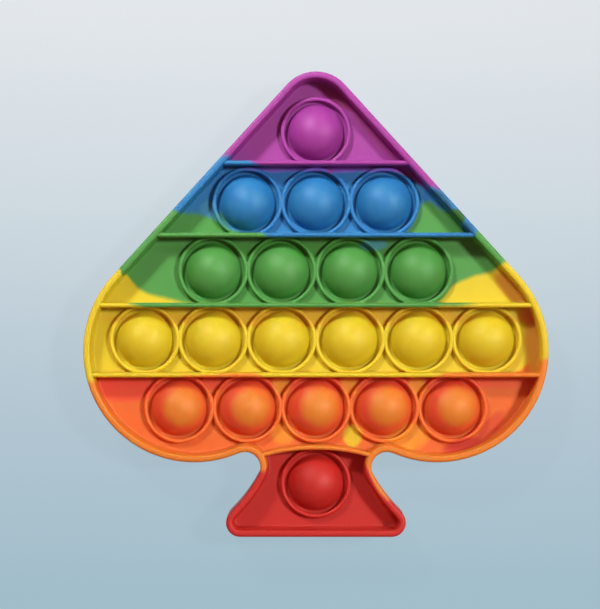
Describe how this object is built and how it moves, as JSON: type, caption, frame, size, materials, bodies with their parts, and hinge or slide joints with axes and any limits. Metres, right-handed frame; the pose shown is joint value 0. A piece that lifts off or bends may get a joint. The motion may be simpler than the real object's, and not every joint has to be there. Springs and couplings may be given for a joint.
{
  "type": "bubble fidget toy",
  "caption": "Flat one-piece silicone push toy in the outline of a spade: rows of hollow domes, each in a raised ring, between ribs inside a rim wall.",
  "frame": {"origin": "middle of the outline's box, on the plane of the back rim", "axes": "+Z out of the front, where the bubbles stand; +Y towards the spade's tip; +X to the right seen from the front"},
  "size_m": [0.135, 0.135, 0.015],
  "materials": {
    "silicone": "matte moulded silicone in six flowing colours, purple at the tip to red at the stem"
  },
  "bodies": {
    "root": {"silicone_body": "silicone"}
  },
  "joints": []
}
